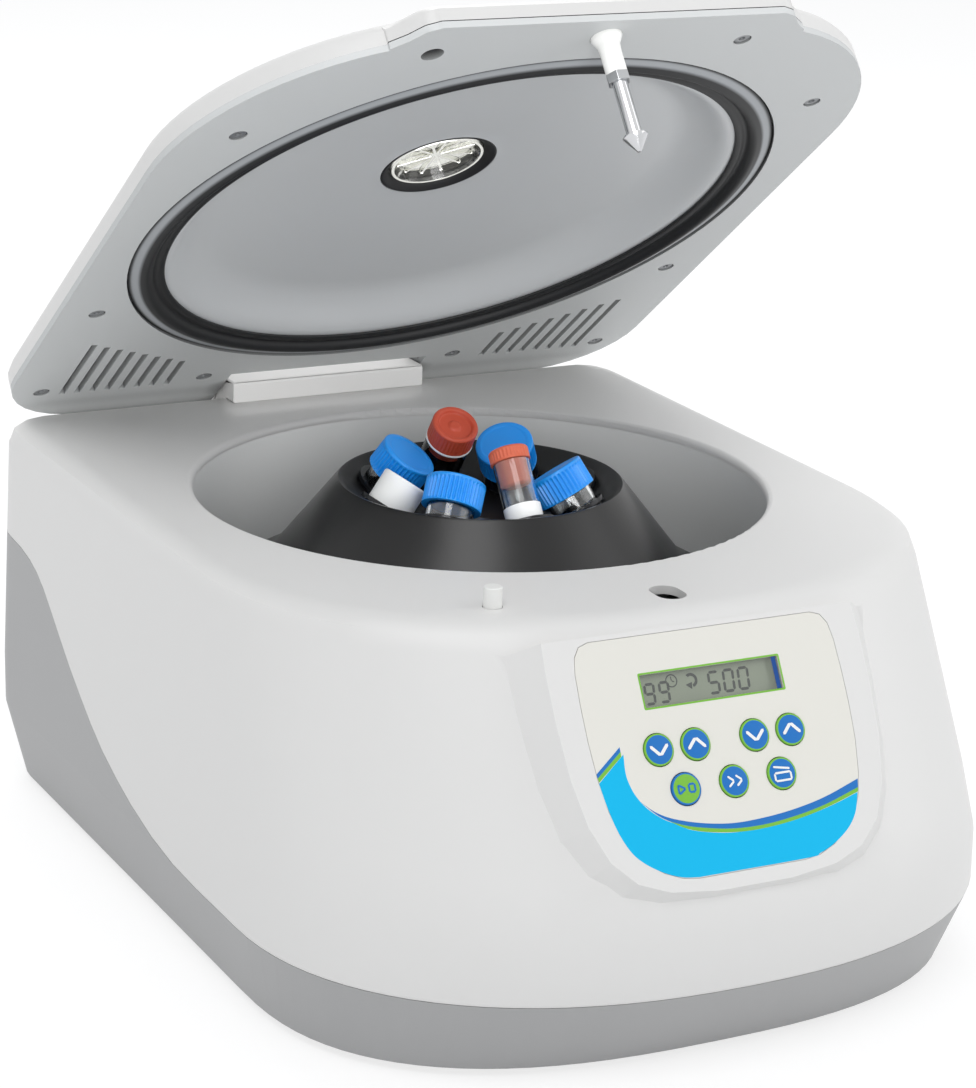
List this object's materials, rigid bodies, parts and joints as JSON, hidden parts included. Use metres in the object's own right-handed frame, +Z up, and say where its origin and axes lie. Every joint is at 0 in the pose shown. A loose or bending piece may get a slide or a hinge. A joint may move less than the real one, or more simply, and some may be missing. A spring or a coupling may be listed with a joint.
{
  "type": "bench centrifuge",
  "caption": "Small bench centrifuge with its hinged lid open over a fixed-angle rotor of capped tubes, a sloping key panel, and a striker and lock at the front.",
  "frame": {"origin": "centre of the bounding box's footprint at bench level", "axes": "+X to the object's right, -Y towards the front key panel, +Z up along the rotor axis"},
  "size_m": [0.273, 0.3676, 0.334],
  "materials": {
    "white_shell": "satin moulded plastic",
    "grey_base": "fine matt moulded plastic",
    "grey_liner": "fine matt moulded plastic",
    "bowl_metal": "smooth light grey enamel",
    "pan_metal": "smooth light grey enamel",
    "seal_rubber": "matt",
    "black_rubber": "matt",
    "clear_plastic": "clear moulded plastic",
    "overlay_film": "printed film, cream with coloured bands",
    "display_film": "clear window",
    "display_glass": "grey-green display",
    "key_blue": "domed film key",
    "key_green": "domed film key",
    "board_green": "circuit board",
    "steel": "zinc-plated steel",
    "bright_steel": "polished",
    "brass": "machined",
    "white_plastic": "moulded acetal",
    "rotor_alloy": "black anodised, satin",
    "sleeve_alloy": "machined",
    "motor_paint": "dark enamel",
    "tube_clear": "clear moulded tube",
    "cap_blue": "ribbed screw cap",
    "cap_orange": "moulded stopper",
    "cap_brick": "moulded stopper",
    "cap_white": "moulded stopper",
    "black_plastic": "moulded"
  },
  "bodies": {
    "housing": {"base_housing": "grey_base", "top_cover": "white_shell", "hinge_block": "white_shell", "chamber_bowl": "bowl_metal", "panel_overlay": "overlay_film", "display_window": "display_film", "display_module": "display_glass", "key_board": "board_green", "latch_frame": "steel", "lock_solenoid": "black_plastic", "lid_pin_spring": "steel", "lid_switch": "black_plastic", "motor_body": "motor_paint", "motor_plate": "steel", "motor_isolators": "black_rubber", "control_board": "board_green", "power_supply": "steel", "power_inlet": "black_plastic", "switch_frame": "black_plastic", "feet": "black_rubber"},
    "lid": {"lid_cover": "white_shell", "lid_liner": "grey_liner", "lid_seal": "seal_rubber", "lid_pan": "pan_metal", "port_gasket": "black_rubber", "sight_port": "clear_plastic", "lid_screws": "steel", "striker_sleeve": "white_plastic", "striker_nut": "steel", "striker_rod": "bright_steel", "hinge_pin": "steel"},
    "rotor": {"rotor_body": "rotor_alloy", "tube_sleeves": "sleeve_alloy", "rotor_nut": "steel", "drive_shaft": "steel"},
    "tube_one": {"tube_one": "tube_clear", "cap_one": "cap_blue"},
    "tube_two": {"tube_two": "tube_clear", "cap_two": "cap_blue"},
    "tube_three": {"tube_three": "tube_clear", "cap_three": "cap_blue"},
    "tube_four": {"tube_four": "tube_clear", "cap_four": "cap_blue"},
    "tube_five": {"tube_five": "tube_clear", "cap_five": "cap_orange"},
    "tube_six": {"tube_six": "tube_clear", "cap_six": "cap_brick"},
    "tube_seven": {"tube_seven": "tube_clear", "cap_seven": "cap_white"},
    "key_time_down": {"key_time_down": "key_blue"},
    "key_time_up": {"key_time_up": "key_blue"},
    "key_speed_down": {"key_speed_down": "key_blue"},
    "key_speed_up": {"key_speed_up": "key_blue"},
    "key_start_stop": {"key_start_stop": "key_green"},
    "key_quick": {"key_quick": "key_blue"},
    "key_open": {"key_open": "key_blue"},
    "lid_pin": {"lid_pin": "white_plastic"},
    "lock_slide": {"lock_slide": "brass"},
    "power_switch": {"power_switch": "black_plastic"}
  },
  "joints": [
    {"name": "lid_hinge", "type": "hinge", "parent": "housing", "child": "lid", "pos_m": [0, 0.17045, 0.1515], "axis": [-1, 0, 0], "range_deg": [-37.25, 39.75]},
    {"name": "rotor_spin", "type": "hinge", "parent": "housing", "child": "rotor", "pos_m": [0, 0.02175, 0.106], "axis": [0, 0, 1], "continuous": true},
    {"name": "tube_one_turn", "type": "hinge", "parent": "rotor", "child": "tube_one", "pos_m": [0.02235, -0.0006, 0.148], "axis": [-0.4056, 0.4056, 0.8192], "continuous": true},
    {"name": "tube_two_turn", "type": "hinge", "parent": "rotor", "child": "tube_two", "pos_m": [0.02235, 0.0441, 0.148], "axis": [-0.4056, -0.4056, 0.8192], "continuous": true},
    {"name": "tube_three_turn", "type": "hinge", "parent": "rotor", "child": "tube_three", "pos_m": [-0.02235, 0.0441, 0.148], "axis": [0.4056, -0.4056, 0.8192], "continuous": true},
    {"name": "tube_four_turn", "type": "hinge", "parent": "rotor", "child": "tube_four", "pos_m": [-0.02235, -0.0006, 0.148], "axis": [0.4056, 0.4056, 0.8192], "continuous": true},
    {"name": "tube_five_turn", "type": "hinge", "parent": "rotor", "child": "tube_five", "pos_m": [0, -0.00985, 0.148], "axis": [0, 0.5736, 0.8192], "continuous": true},
    {"name": "tube_six_turn", "type": "hinge", "parent": "rotor", "child": "tube_six", "pos_m": [0, 0.05335, 0.148], "axis": [0, -0.5736, 0.8192], "continuous": true},
    {"name": "tube_seven_turn", "type": "hinge", "parent": "rotor", "child": "tube_seven", "pos_m": [-0.0316, 0.02175, 0.148], "axis": [0.5736, 0, 0.8192], "continuous": true},
    {"name": "key_time_down_press", "type": "slide", "parent": "housing", "child": "key_time_down", "axis": [0, 0.8638, -0.5038], "range_m": [0, 0.0007], "stiffness_N_per_m": 1800, "springref_m": -0.0006},
    {"name": "key_time_up_press", "type": "slide", "parent": "housing", "child": "key_time_up", "axis": [0, 0.8638, -0.5038], "range_m": [0, 0.0007], "stiffness_N_per_m": 1800, "springref_m": -0.0006},
    {"name": "key_speed_down_press", "type": "slide", "parent": "housing", "child": "key_speed_down", "axis": [0, 0.8638, -0.5038], "range_m": [0, 0.0007], "stiffness_N_per_m": 1800, "springref_m": -0.0006},
    {"name": "key_speed_up_press", "type": "slide", "parent": "housing", "child": "key_speed_up", "axis": [0, 0.8638, -0.5038], "range_m": [0, 0.0007], "stiffness_N_per_m": 1800, "springref_m": -0.0006},
    {"name": "key_start_stop_press", "type": "slide", "parent": "housing", "child": "key_start_stop", "axis": [0, 0.8638, -0.5038], "range_m": [0, 0.0007], "stiffness_N_per_m": 1800, "springref_m": -0.0006},
    {"name": "key_quick_press", "type": "slide", "parent": "housing", "child": "key_quick", "axis": [0, 0.8638, -0.5038], "range_m": [0, 0.0007], "stiffness_N_per_m": 1800, "springref_m": -0.0006},
    {"name": "key_open_press", "type": "slide", "parent": "housing", "child": "key_open", "axis": [0, 0.8638, -0.5038], "range_m": [0, 0.0007], "stiffness_N_per_m": 1800, "springref_m": -0.0006},
    {"name": "lid_pin_press", "type": "slide", "parent": "housing", "child": "lid_pin", "axis": [0, 0, -1], "range_m": [0, 0.005], "stiffness_N_per_m": 400, "springref_m": -0.002, "deforming": ["lid_pin_spring"]},
    {"name": "lock_slide_travel", "type": "slide", "parent": "housing", "child": "lock_slide", "axis": [-1, 0, 0], "range_m": [0, 0.007]},
    {"name": "power_switch_rock", "type": "hinge", "parent": "housing", "child": "power_switch", "pos_m": [0.088, 0.17775, 0.0385], "axis": [-1, 0, 0], "range_deg": [0, 18]}
  ]
}
